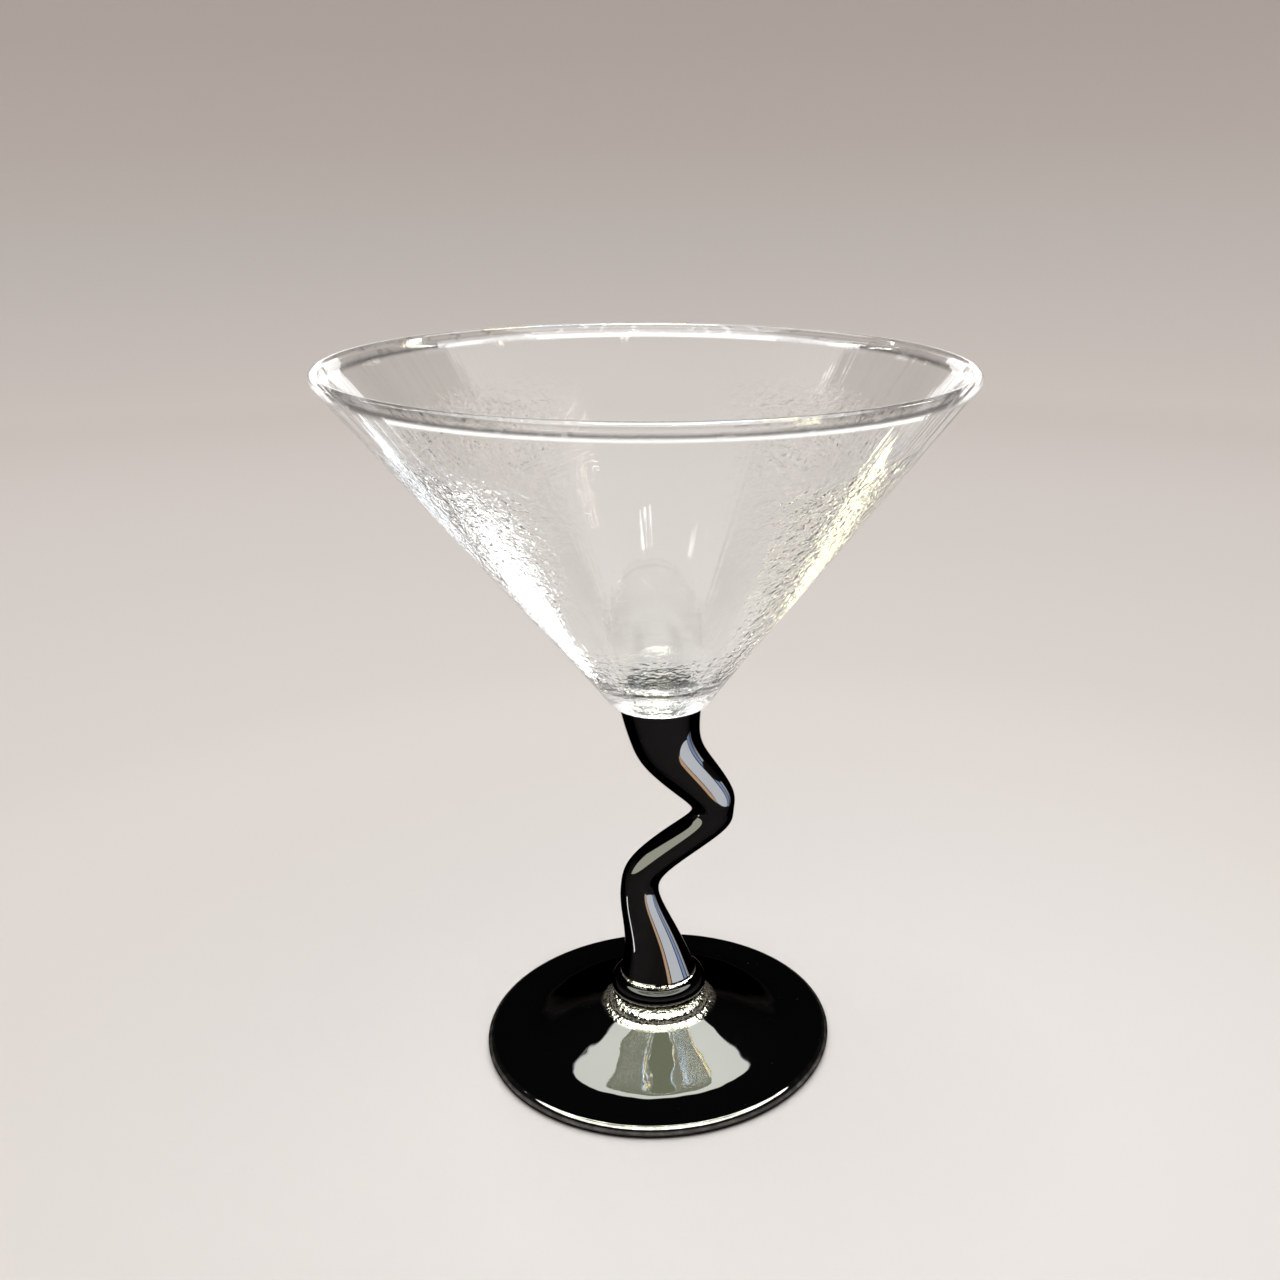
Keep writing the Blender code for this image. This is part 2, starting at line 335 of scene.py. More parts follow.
# %% Stem thickness
upward = np.clip((height - UPPER_BEND) / (STEM_LENGTH - UPPER_BEND), 0, 1)
downward = np.clip((LOWER_BEND - height) / LOWER_BEND, 0, 1)
rod = ROD_RADIUS + (STEM_TOP_RADIUS - ROD_RADIUS) * upward ** TOP_FLARE_POWER
rod = rod + (STEM_BASE_RADIUS - ROD_RADIUS) * downward ** BASE_FLARE_POWER
print("the rod is", in_mm(2 * rod.min()), "mm thick where it is thinnest")


# %% Stem outline
def relax(values, reach):
    """Rounds a row of values: each becomes the mean of its neighbours within reach, weighted by
    a bell curve. The ends are carried on straight first, so they keep their place."""
    side = int(3 * reach)
    bell = np.exp(-0.5 * (np.arange(-side, side + 1) / reach) ** 2)
    steps = np.arange(1, side + 1)
    before = values[0] - (values[1] - values[0]) * steps[::-1]
    after = values[-1] + (values[-1] - values[-2]) * steps
    return np.convolve(np.concatenate([before, values, after]), bell / bell.sum(), "valid")


BEND_SOFTNESS = 1.2 * MM             # the flame rounds the outline at the bends by about this
softness = BEND_SOFTNESS / (STEM_LENGTH / STEM_SECTIONS)
half_width = rod * np.hypot(1.0, slope)
left_side = relax(offset - half_width, softness)
right_side = relax(offset + half_width, softness)
offset = (left_side + right_side) / 2
half_width = ((right_side - left_side) / 2)[:, None]
print("the outline is", in_mm(2 * half_width.max()), "mm wide at most")

# %% Stem
WELD = 0.3 * MM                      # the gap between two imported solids
angle = ring_angles(STEM_STEPS)
stem_rings = np.stack([offset[:, None] + half_width * np.cos(angle),
                       rod[:, None] * np.sin(angle),
                       np.repeat(height[:, None] + stem_low.z, STEM_STEPS, axis=1)], axis=2)
# the welds: the solids stand a hair apart, and the real glass is fused, so both ends reach over
stem_rings[0, :, 2] -= 2 * WELD
stem_rings[-1, :, 2] += 2 * WELD
stem = grid_object("zigzag_stem", stem_rings, (offset[0], 0, stem_low.z - 2 * WELD),
                   (offset[-1], 0, stem_high.z + 2 * WELD))

# %% [markdown]
# ## The collar
# The collar is the ring that is left where the hot stem was pushed onto the foot: a squat disc
# with a full round edge. A cylinder with a Bevel would come close. Its profile is so short that
# two arcs and two straight lines say the same, and the number of points stays in hand.

# %% Collar
COLLAR_EDGE_ROUND = 1.6 * MM
COLLAR_STEPS = 160
FLAT_POINTS = 6
ARC_POINTS = 16
collar_radius = collar_high.x
collar_height = collar_high.z - collar_low.z
collar_flat = collar_radius - COLLAR_EDGE_ROUND
collar_profile = np.vstack([
    line((0, 0), (collar_flat, 0), FLAT_POINTS),
    arc(collar_flat, COLLAR_EDGE_ROUND, COLLAR_EDGE_ROUND, -90, 0, ARC_POINTS),
    arc(collar_flat, collar_height - COLLAR_EDGE_ROUND, COLLAR_EDGE_ROUND, 0, 90, ARC_POINTS),
    line((collar_flat, collar_height), (0, collar_height), FLAT_POINTS)])
collar_rings = turned(collar_profile, COLLAR_STEPS)
collar_rings[..., 2] += collar_low.z
collar = grid_object("weld_collar", collar_rings, (0, 0, collar_low.z), (0, 0, collar_high.z))

# %% [markdown]
# ## The foot
# The foot is pressed in a mould. From its round edge a level brim runs in, turns up into a cone,
# and the cone ends in a small bead under the collar. Underneath it is hollow, inside a flat ring
# that it stands on. The bend from brim to cone is a hyperbola, because a sharp corner would put
# a hard line across everything that the gloss reflects.

# %% Foot sizes
FOOT_EDGE_THICKNESS = 2.4 * MM
FOOT_SEAT_RADIUS = 8.6 * MM
FOOT_BEAD_ROUND = 1.7 * MM           # the small bead between the cone and the collar
FOOT_CONE_SHARE = 0.36               # how far in from the edge the brim turns up into the cone
FOOT_CONE_BLEND = 1.6 * MM
FOOT_STANDING_WIDTH = 3.6 * MM
FOOT_HOLLOW_DEPTH = 2.4 * MM
FOOT_STEPS = 288
foot_radius = foot_high.x
edge_round = FOOT_EDGE_THICKNESS / 2
edge_start = foot_radius - edge_round
hollow_radius = edge_start - FOOT_STANDING_WIDTH
bead_radius = FOOT_SEAT_RADIUS + FOOT_BEAD_ROUND
cone_start = edge_start - FOOT_CONE_SHARE * (edge_start - bead_radius)
print("the cone starts", in_mm(cone_start), "mm out, the bead", in_mm(bead_radius), "mm out")

# %% Foot
HOLLOW_POINTS = 30
RING_POINTS = 4
UPPER_POINTS = 110
ROUND_POINTS = 32
BEAD_POINTS = 18


def foot_bend(radius):
    """(past + sqrt(past^2 + blend^2)) / 2, past being how far inside the cone's start: nearly
    nothing on the brim, and a straight climb further in."""
    past = cone_start - radius
    return (past + np.hypot(past, FOOT_CONE_BLEND)) / 2


share = np.linspace(0, 1, HOLLOW_POINTS)[1:-1]
hollow = np.stack([hollow_radius * share, FOOT_HOLLOW_DEPTH * np.cos(math.pi / 2 * share)], 1)
radius = np.linspace(edge_start, bead_radius, UPPER_POINTS)
climb = foot_bend(radius) - foot_bend(edge_start)
climb = climb / climb[-1] * (foot_high.z - FOOT_EDGE_THICKNESS - FOOT_BEAD_ROUND)
upper = np.stack([radius, FOOT_EDGE_THICKNESS + climb], 1)[1:]
foot_profile = np.vstack([
    hollow,
    line((hollow_radius, 0), (edge_start, 0), RING_POINTS),
    arc(edge_start, edge_round, edge_round, -90, 90, ROUND_POINTS),
    upper,
    arc(FOOT_SEAT_RADIUS, foot_high.z - FOOT_BEAD_ROUND, FOOT_BEAD_ROUND, 0, 90, BEAD_POINTS)[1:],
    line((FOOT_SEAT_RADIUS, foot_high.z), (0, foot_high.z), RING_POINTS)])
foot_rings = turned(foot_profile, FOOT_STEPS)
foot = grid_object("black_foot", foot_rings, (0, 0, FOOT_HOLLOW_DEPTH), (0, 0, foot_high.z))

# %% [markdown]
# ## Materials as sums
# A finish is easier to read as a formula than as a web of nodes, so one small class wraps an
# output socket. Adding or multiplying two of them adds a Math node to the tree, and one method
# makes any other node.

# %% Signal
class Signal:
    """One output socket of a shader node. Arithmetic on it adds Math nodes."""

    def __init__(self, socket):
        self.socket = socket

    def new(self, kind, settings=None, inputs=None, output=0):
        """A node of this kind in the same tree: settings first, then values or links."""
        return Signal(make_node(self.socket.id_data, kind, settings, inputs).outputs[output])

    def math(self, operation, *values):
        return self.new("ShaderNodeMath", {"operation": operation}, dict(enumerate(values)))

    def __add__(self, other):
        return self.math("ADD", self, other)

    def __sub__(self, other):
        return self.math("SUBTRACT", self, other)

    def __rsub__(self, other):
        return self.math("SUBTRACT", other, self)

    def __mul__(self, other):
        return self.math("MULTIPLY", self, other)

    def __truediv__(self, other):
        return self.math("DIVIDE", self, other)

    def __pow__(self, other):
        return self.math("POWER", self, other)

    __radd__ = __add__
    __rmul__ = __mul__

    def fade(self, start, end):
        """0 at start, 1 at end, smooth between."""
        return self.new("ShaderNodeMapRange", {"interpolation_type": "SMOOTHSTEP"},
                        {"Value": self, "From Min": start, "From Max": end})


# %% Node makers
def make_node(tree, kind, settings=None, inputs=None):
    """Adds a node; inputs maps a socket's name or number to a value or a Signal."""
    node = tree.nodes.new(kind)
    for name, value in (settings or {}).items():
        if name == "stops":
            ramp = node.color_ramp.elements
            while len(ramp) < len(value):
                ramp.new(1.0)
            for stop, (position, colour) in zip(ramp, value):
                stop.position = position
                stop.color = (*colour, 1.0)
        else:
            setattr(node, name, value)
    for name, value in (inputs or {}).items():
        if isinstance(value, Signal):
            tree.links.new(value.socket, node.inputs[name])
        else:
            node.inputs[name].default_value = value
    return node


def new_material(name, **constants):
    """A Principled material: the material, its shader, and Object coordinates as a Signal.
    What is the same all over is set on the shader's own socket."""
    material = bpy.data.materials.new(name)
    material.use_nodes = True
    tree = material.node_tree
    shader = tree.nodes["Principled BSDF"]
    for socket, value in constants.items():
        shader.inputs[socket.replace("_", " ")].default_value = value
    place = Signal(make_node(tree, "ShaderNodeTexCoord").outputs["Object"])
    return material, shader, place


def feed(shader, socket, signal):
    """Links a Signal to a socket of the shader."""
    shader.id_data.links.new(signal.socket, shader.inputs[socket])


# %% Patterns
def noise(place, scale, detail=2.0, roughness=0.5):
    """Soft random lumps, scale of them to the metre, between 0 and 1."""
    return place.new("ShaderNodeTexNoise", None,
                     {"Vector": place, "Scale": scale, "Detail": detail, "Roughness": roughness})


MIX_FACTOR = 0                       # a Mix node's sockets when it mixes colours
MIX_A = 6
MIX_B = 7
MIX_RESULT = 2


def split(place):
    """The three coordinates of a place."""
    node = make_node(place.socket.id_data, "ShaderNodeSeparateXYZ", None, {0: place})
    return [Signal(node.outputs[i]) for i in range(3)]


AXIS_GUARD = 0.5 * MM                # keeps the division safe on the axis itself


def around(place, turns, per_metre):
    """Coordinates that follow a turned piece: the direction from the axis, times turns, and
    the height, times per_metre. A noise on them is drawn out along the piece's own profile."""
    x, y, z = split(place)
    reach = (x * x + y * y) ** 0.5 + AXIS_GUARD
    return place.new("ShaderNodeCombineXYZ", None,
                     {"X": x / reach * turns, "Y": y / reach * turns, "Z": z * per_metre})


def mix(factor, first, second):
    """The first colour where factor is 0, the second where it is 1."""
    return factor.new("ShaderNodeMix", {"data_type": "RGBA"},
                      {MIX_FACTOR: factor, MIX_A: first, MIX_B: second}, MIX_RESULT)


def bump(height_signal, strength, distance, normal=None):
    """A normal tilted by a height, on top of another normal where one is given."""
    inputs = {"Height": height_signal, "Strength": strength, "Distance": distance}
    if normal is not None:
        inputs["Normal"] = normal
    return height_signal.new("ShaderNodeBump", None, inputs)


print("patterns are ready; a noise of scale 1000 has lumps of about a millimetre")

# %% [markdown]
# ## Clear glass
# Clear glass is the Principled shader with all its light let through. What makes it look pressed
# by hand is its skin: long draw lines that follow the cone, and on both sides a field of small
# dimples that break the light into flecks. Both are bumps, because they are far too shallow to
# model. The lip is so strongly curved that it traps nearly all the light that enters it, and a
# path tracer would leave it black, so there the same shader is let fade to a thin bright bead.

# %% Clear glass, its zones
SIDE_START = 9 * MM                  # distance from the middle plane where the dimples begin
SIDE_FULL = 26 * MM
LIP_DEPTH = 3.0 * MM                 # all of these are depths below the rim
LIP_FULL_DEPTH = 1.9 * MM
DIMPLES_START = 8 * MM
DIMPLES_FULL = 16 * MM
BASE_START = 44 * MM
BASE_FULL = 52 * MM
BASE_DIMPLES = 0.5                   # the base is dimpled all round, but half as deeply

clear, shader, place = new_material(
    "clear_pressed_glass", Transmission_Weight=1.0, IOR=1.5, Metallic=0.0)
x, y, z = split(place)
rim_height = bowl_high.z
side = x.math("ABSOLUTE", x).fade(SIDE_START, SIDE_FULL)
lip = z.fade(rim_height - LIP_DEPTH, rim_height - LIP_FULL_DEPTH)
low = z.fade(rim_height - DIMPLES_START, rim_height - DIMPLES_FULL)
base = z.fade(rim_height - BASE_START, rim_height - BASE_FULL)
print("the lip's bead starts", in_mm(rim_height - LIP_DEPTH), "mm up")

# %% Clear glass, its skin
DIMPLE_SCALE = 620.0                 # dimples per metre, about
DIMPLE_DEPTH = 0.30 * MM
DRAW_LINE_DEPTH = 0.4 * MM
DRAW_LINE_STRENGTH = 0.35
SMUDGE_SCALE = 55.0
CLEAN_ROUGHNESS = 0.002
SMUDGE_ROUGHNESS = 0.025
LIP_ROUGHNESS = 0.06

draw_lines = noise(around(place, 9.0, 6.0), 1.0, 3.0)
dimples = noise(place, DIMPLE_SCALE, 2.0, 0.6)
smudges = noise(place, SMUDGE_SCALE, 4.0, 0.6).fade(0.52, 0.75)
feed(shader, "Roughness",
     smudges * SMUDGE_ROUGHNESS + CLEAN_ROUGHNESS + lip * LIP_ROUGHNESS)
surface = bump(draw_lines, DRAW_LINE_STRENGTH, DRAW_LINE_DEPTH)
hammered = side.math("MAXIMUM", side * low, base * BASE_DIMPLES)
surface = bump(dimples * hammered, 1.0, DIMPLE_DEPTH, surface)
feed(shader, "Normal", surface)
print("dimples", round(1000 / DIMPLE_SCALE, 1), "mm wide and", in_mm(DIMPLE_DEPTH), "mm deep")

# %% Clear glass, its lip and tint
EDGE_SHARE = 0.55                    # how much the bead shows where it is seen side on
RIPPLE_SHARE = 0.3                   # the same for its small bright ripples
FACE_SHARE = 0.13                    # and for the rest of it
THICK_TINT = (0.955, 0.965, 0.96, 1.0)
THIN_TINT = (0.99, 0.992, 0.99, 1.0)
TINT_SCALE = 18.0

ripple = noise(around(place, 26.0, 900.0), 1.0, 3.0)
facing = place.new("ShaderNodeLayerWeight", None, {"Blend": 0.5}, 1)
bead = (facing * facing * facing * EDGE_SHARE
        + ripple.fade(0.56, 0.70) * RIPPLE_SHARE + FACE_SHARE)
feed(shader, "Metallic", lip)
feed(shader, "Alpha", 1.0 - lip * (1.0 - bead))
feed(shader, "Base Color", mix(noise(place, TINT_SCALE), THICK_TINT, THIN_TINT))
bowl.data.materials.append(clear)
print(clear.name, "has", len(clear.node_tree.nodes), "nodes")


# %% [markdown]
# ## Black glass
# Black glass swallows all the light that gets in, so only its skin shows. A glossy Principled
# over a black base would do, but towards a grazing edge it turns as pale as the room. A dark
# mirror keeps its blackness: a metal whose colour is the share of light that glass gives back.
# Where the hot stem was pushed onto the foot, the weld is full of tiny bubbles and chill marks
# that dimple the skin. There the skin is also painted paler, a far stronger mirror in specks,
# as a painted glitter of highlights.

# %% Black glass, its shared sizes
# painted light: a glitter of highlights in the weld, and a highlight line on the foot's edge
WELD_PAINTED_GLITTER_TONE = (0.40, 0.39, 0.34, 1.0)
EDGE_PAINTED_HIGHLIGHT_TONE = (0.16, 0.155, 0.15, 1.0)
WELD_DEPTH = 0.35 * MM
CLOUD_SCALE = 30.0                   # each scale is in lumps per metre
SPECK_SCALE = 1100.0
GLINT_SCALE = 500.0
BLACK_SMUDGE_SCALE = 90.0
DUST_SCALE = 2600.0
POLISHED = 0.015                     # roughness of the clean skin
SMUDGED = 0.05
DUSTY = 0.5
print("specks in the weld are", round(1000 / SPECK_SCALE, 1), "mm wide")


# %% Black glass
def black_glass(name, gloss, grazing, wave_size, wave_height, weld_share, painted_highlight_edge=None):
    """A dark mirror that gives back the share gloss, with long soft waves, smudges and dust.
    grazing tames the glare at edges seen nearly side on.
    weld_share takes the height and the distance from the axis, and gives 1 in the weld, where a
    glitter of highlights is painted in specks; the last argument, when given, does the same for
    an edge where a highlight line is painted."""
    material, shader, place = new_material(name, Metallic=1.0,
                                           Specular_Tint=(grazing, grazing, grazing, 1.0))
    x, y, z = split(place)
    reach = (x * x + y * y) ** 0.5
    weld = weld_share(z, reach)
    specks = noise(place, SPECK_SCALE, 2.0)
    tone = mix(noise(place, CLOUD_SCALE, 3.0),
               (gloss * 0.85, gloss * 0.85, gloss * 0.87, 1.0),
               (gloss * 1.15, gloss * 1.15, gloss * 1.13, 1.0))
    # painted glitter: in the weld the skin gives back far more light than black glass, in specks
    tone = mix(weld * (specks.fade(0.35, 0.60) * 0.6 + 0.4), tone, WELD_PAINTED_GLITTER_TONE)
    # painted highlight: the foot's edge gives back more light, broken by painted glinting specks
    if painted_highlight_edge is not None:
        painted_glints = noise(place, GLINT_SCALE, 2.0).fade(0.35, 0.70)
        tone = mix(painted_highlight_edge(z, reach) * (painted_glints * 0.7 + 0.3), tone, EDGE_PAINTED_HIGHLIGHT_TONE)
    feed(shader, "Base Color", tone)
    smudge = noise(place, BLACK_SMUDGE_SCALE, 4.0, 0.6).fade(0.5, 0.75)
    dust = noise(place, DUST_SCALE, 1.0).fade(0.80, 0.84)
    feed(shader, "Roughness", smudge * SMUDGED + dust * DUSTY + POLISHED)
    skin = bump(noise(place, 1.0 / wave_size, 1.0), 1.0, wave_height)
    feed(shader, "Normal", bump(specks * weld, 1.0, WELD_DEPTH, skin))
    print(name, "gives back", round(100 * gloss, 1), "percent")
    return material


# %% [markdown]
# ## Three black pieces, three welds
# Stem, collar and foot are the same glass. Each was worked differently, so each has its own waves.
# Each also has its own gloss: the stem, and less so the collar, give back less light than the
# foot, which is painted shade that keeps them black. Each also meets the weld in its own place:
# the stem's last millimetre, the lower half of the collar, and the bead and the top of the cone on
# the foot. The foot's edge is painted to give back more light than the rest, as a painted
# highlight line broken into painted glinting specks.

# %% Stem glass
WELD_ON_STEM = 0.8 * MM
WELD_ON_STEM_FULL = 0.2 * MM


def weld_on_stem(z, reach):
    """1 in the stem's last fraction of a millimetre."""
    return z.fade(stem_low.z + WELD_ON_STEM, stem_low.z + WELD_ON_STEM_FULL)


# painted shade: the stem gives back less light than black glass does, so it stays black
stem.data.materials.append(
    black_glass("black_stem_glass", 0.012, 0.05, 9 * MM, 0.05 * MM, weld_on_stem))

# %% Collar glass
collar_middle = (collar_low.z + collar_high.z) / 2
WELD_OVER_MIDDLE = 0.1 * MM
WELD_UNDER_MIDDLE = 0.5 * MM


def weld_on_collar(z, reach):
    """1 in the lower half of the collar."""
    return z.fade(collar_middle + WELD_OVER_MIDDLE, collar_middle - WELD_UNDER_MIDDLE)


# painted shade: the collar gives back less light than black glass does, so it stays dark
collar.data.materials.append(
    black_glass("black_collar_glass", 0.02, 0.25, 7 * MM, 0.05 * MM, weld_on_collar))

# %% Foot glass
WELD_ON_CONE = 1.8 * MM
WELD_ON_CONE_FULL = 0.4 * MM
EDGE_INSIDE = 0.2 * MM
EDGE_OUTSIDE = 0.3 * MM
EDGE_UNDERSIDE = 0.9 * MM
EDGE_UPPER_SIDE = 1.3 * MM


def weld_on_foot(z, reach):
    """1 on the bead, fading out on the top of the cone."""
    return reach.fade(bead_radius + WELD_ON_CONE, bead_radius + WELD_ON_CONE_FULL)


def foot_rim(z, reach):
    """1 on the upper half of the foot's round edge, where a highlight line is painted."""
    outer = reach.fade(edge_start - EDGE_INSIDE, edge_start + EDGE_OUTSIDE)
    return outer * z.fade(EDGE_UNDERSIDE, EDGE_UPPER_SIDE)


foot.data.materials.append(black_glass(
    "black_foot_glass", 0.045, 0.25, 7 * MM, 0.18 * MM, weld_on_foot, foot_rim))

# %% [markdown]
# ## Pieces and the solids they stand for
# Each fine piece takes the place of one imported solid. Nothing on a glass moves, so all four ride
# on the same body.

# %% Riding
STANDS_FOR = (
    (bowl, "bowl", "clear_glass"),
    (stem, "stem", "black_glass"),
    (collar, "collar", "black_glass"),
    (foot, "foot", "black_glass"),
)
for piece, node, slot in STANDS_FOR:
    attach(piece, "root")
    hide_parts(node)
    print(piece.name, "stands for", node)

# %% [markdown]
# ## The table and its sweep
# A pale floor that curves up all round, so no horizon shows from any side. It could be a plane
# and a separate wall, but then their corner would show as a line. One turned sheet has no
# corner: level in the middle, an arc, and a straight run above it.

# %% Table shape
FLOOR_REACH = 0.75                   # metres, as are the next two lengths
SWEEP_RADIUS = 0.35
WALL_RUN = 0.42                      # the straight part above the curve
SWEEP_TURN = 50.0                    # degrees
INNERMOST = 0.02
FLAT_RINGS = 39
SWEEP_RINGS = 24
WALL_RINGS = 6
TABLE_STEPS = 96

sweep = arc(FLOOR_REACH, SWEEP_RADIUS, SWEEP_RADIUS, -90, -90 + SWEEP_TURN, SWEEP_RINGS)
flat_reach = np.linspace(INNERMOST, FLOOR_REACH, FLAT_RINGS + 1)[:-1]
flat = np.stack([flat_reach, np.zeros(FLAT_RINGS)], 1)
run = np.array([math.cos(math.radians(SWEEP_TURN)), math.sin(math.radians(SWEEP_TURN))])
wall_top = sweep[-1] + run * WALL_RUN
floor_profile = np.vstack([flat, sweep, line(sweep[-1], wall_top, WALL_RINGS), wall_top])
floor_rings = turned(floor_profile, TABLE_STEPS)
print("sweep ends", round(wall_top[0], 3), "m out,", round(wall_top[1], 3), "m up")


# %% Table
def table_object(name, rings):
    """Joins ring i to ring i + 1 with quads that face the middle, and closes the first ring
    with a fan to the centre. The outer edge stays open."""
    count, steps, _ = rings.shape
    index = np.arange(count * steps).reshape(count, steps)
    after = np.roll(index, -1, axis=1)
    quads = np.stack([index[:-1], index[1:], after[1:], after[:-1]], axis=2).reshape(-1, 4)
    centre = np.stack([np.full(steps, count * steps), index[0], after[0]], axis=1)
    points = np.vstack([rings.reshape(-1, 3), (0, 0, 0)])
    mesh = bpy.data.meshes.new(name)
    mesh.from_pydata(points.tolist(), [], quads.tolist() + centre.tolist())
    mesh.shade_smooth()
    thing = bpy.data.objects.new(name, mesh)
    bpy.context.scene.collection.objects.link(thing)
    print(name, len(mesh.vertices), "points")
    return thing


floor = table_object("pale_sweep", floor_rings)
floor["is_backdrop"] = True

# %% [markdown]
# ## The table's paint
# Matt paint, a little warm. A studio sweep darkens as it runs away from the lamps. Dimmer lamps
# would darken the glass too, so the paint itself is mixed darker outwards, in rings.

# %% Paint
POOL_CENTRE = (25 * MM, -20 * MM)    # the paint is palest here and darkens outwards
RAMP_REACH = 1.2                     # metres to the ramp's end
PAINT_STOPS = [                      # share of RAMP_REACH, colour
    (0.050, (0.885, 0.840, 0.815)),
    (0.090, (0.800, 0.760, 0.730)),
    (0.135, (0.735, 0.690, 0.650)),
    (0.210, (0.690, 0.645, 0.608)),
    (0.350, (0.690, 0.640, 0.600)),
    (0.500, (0.720, 0.660, 0.620)),
    (0.683, (0.747, 0.685, 0.638)),
    (0.790, (0.665, 0.610, 0.575)),
    (0.850, (0.594, 0.547, 0.515)),
    (0.900, (0.545, 0.488, 0.455)),
    (0.955, (0.517, 0.463, 0.425)),
]

paint, shader, place = new_material("pale_paint", Roughness=0.9, Specular_IOR_Level=0.1)
x, y, z = split(place)
across = x - POOL_CENTRE[0]
along = y - POOL_CENTRE[1]
distance = (across * across + along * along) ** 0.5
shade = place.new("ShaderNodeValToRGB", {"stops": PAINT_STOPS}, {0: distance / RAMP_REACH})
feed(shader, "Base Color", shade)
floor.data.materials.append(paint)
print(paint.name, "has", len(PAINT_STOPS), "stops")

# %% [markdown]
# ## Lamps
# Glass shows its surroundings more than itself, so each lamp here is a surface to be reflected,
# with a size, a place and a brightness of its own. An area lamp is given by its power, but what
# a reflection shows is radiance, power over pi times area, so the helper works the other way.
# Light linking says which pieces a lamp may light, so a streak meant for the bowl stays there.

# %% Lamp makers
def softbox(name, place, aim, width, length, radiance, colour=(1, 1, 1)):
    """A rectangular lamp of this radiance, facing aim. Its power is radiance * pi * area."""
    lamp = bpy.data.lights.new(name, "AREA")
    lamp.shape = "RECTANGLE"
    lamp.size = width
    lamp.size_y = length
    lamp.energy = radiance * math.pi * width * length
    lamp.color = colour
    thing = bpy.data.objects.new(name, lamp)
    toward = Vector(aim) - Vector(place)
    thing.matrix_world = (Matrix.Translation(Vector(place))
                          @ toward.to_track_quat("-Z", "Y").to_matrix().to_4x4())
    thing.visible_camera = False
    bpy.context.scene.collection.objects.link(thing)
    return thing


def group(name, *members):
    """A collection that says which pieces a lamp lights, or which can hide it."""
    collection = bpy.data.collections.new(name)
    for member in members:
        collection.objects.link(member)
    return collection


for_bowl = group("clear_pieces", bowl)
for_black = group("black_pieces", stem, collar, foot)
for_stem = group("stem_only", stem)
for_foot = group("foot_and_collar", foot, collar)
table_only = group("table_only", floor)
for_rest = group("table_and_black_pieces", floor, stem, collar, foot)


# %% Panels round the glass
def around_glass(azimuth, elevation, distance, centre):
    """A place at this distance from centre: azimuth from +Y towards +X, both in degrees."""
    turn = math.radians(azimuth)
    rise = math.radians(elevation)
    reach = distance * math.cos(rise)
    return Vector(centre) + Vector((reach * math.sin(turn), reach * math.cos(turn),
                                    distance * math.sin(rise)))


def panel(name, azimuth, elevation, width, height, radiance, colour, members, centre,
          distance=0.6):
    """A softbox whose width and height are given in degrees as seen from centre:
    a side is 2 * distance * tan(angle / 2)."""
    across = 2 * distance * math.tan(math.radians(width / 2))
    along = 2 * distance * math.tan(math.radians(height / 2))
    place = around_glass(azimuth, elevation, distance, centre)
    lamp = softbox(name, place, centre, across, along, radiance, colour)
    lamp.light_linking.receiver_collection = members
    return lamp


print("a panel 10 degrees wide is", in_mm(2 * 0.6 * math.tan(math.radians(5))), "mm wide")

# %% [markdown]
# ## The overhead softbox
# One big round softbox hangs a metre above. It is really four discs, close together, because
# clear and black glass want different brightness from it. Its round edge is what draws the pale
# fan on the foot's cone and the bright middle of the bowl's back wall. The last disc is hidden
# by nothing but the table, so the part of the fan that lies under the bowl isn't black.

# %% Overhead
DISC_SHARE = math.pi / 4             # a disc's area over its square's


def overhead(name, height, width, radiance, colour, members):
    """A round softbox facing down."""
    lamp = softbox(name, (0, 0, height), (0, 0, 0), width, width, radiance, colour)
    lamp.data.shape = "DISK"
    lamp.data.energy *= DISC_SHARE
    lamp.light_linking.receiver_collection = members
    return lamp


overhead("overhead_softbox", 1.05, 1.75, 2.35, (1, 1, 1), for_rest)
overhead("overhead_for_bowl", 1.06, 1.77, 1.45, (1, 1, 1), for_bowl)
overhead("overhead_gloss", 1.04, 1.70, 7.2, (0.97, 1.0, 0.97), for_black)
fill = overhead("overhead_fill", 1.03, 1.66, 3.3, (0.96, 1.0, 0.68), for_foot)
fill.light_linking.blocker_collection = table_only
stem.visible_glossy = False          # the foot shows the softbox, not a black stripe of stem
collar.visible_glossy = False
print("the softbox spans", round(2 * math.degrees(math.atan(0.5 * 1.75 / 1.05))), "degrees")

# %% [markdown]
# ## Streaks on the bowl
# A far strip lights the rim's ends, a card at the zenith glows in the base, and narrow panels
# of several colours make the long streaks, as the windows and lamps of a room would.

# %% Bowl panels
BOWL_MIDDLE = (0, 0, 0.11)
STEM_MIDDLE = (0, 0, 0.05)
# name, azimuth, elevation, width, height, radiance, colour
BOWL_STREAKS = (
    ("streak_pale", 62, 39, 3, 10, 6.0, (0.95, 1.0, 0.97)),
    ("streak_cream", 58, 37, 1, 10, 10.0, (1.0, 0.85, 0.6)),
    ("streak_amber", 112, 59, 1, 8, 14.0, (1.0, 0.85, 0.7)),
    ("streak_right", -70, 44, 4, 10, 5.0, (1.0, 0.97, 0.92)),
    ("streak_far_right", -58, 37, 1.5, 10, 9.0, (1.0, 0.95, 0.85)),
    ("dash_left", 168, 63, 1, 2.5, 60.0, (1.0, 1.0, 1.0)),
    ("dash_right", -136, 59, 1, 2.5, 50.0, (1.0, 0.98, 0.95)),
)
panel("far_strip", -8, 12, 90, 9, 1.8, (0.97, 0.99, 1.0), for_bowl, BOWL_MIDDLE)
panel("zenith_card", 0, 90, 22, 22, 10.0, (0.95, 1.0, 0.86), for_bowl, BOWL_MIDDLE, 0.9)
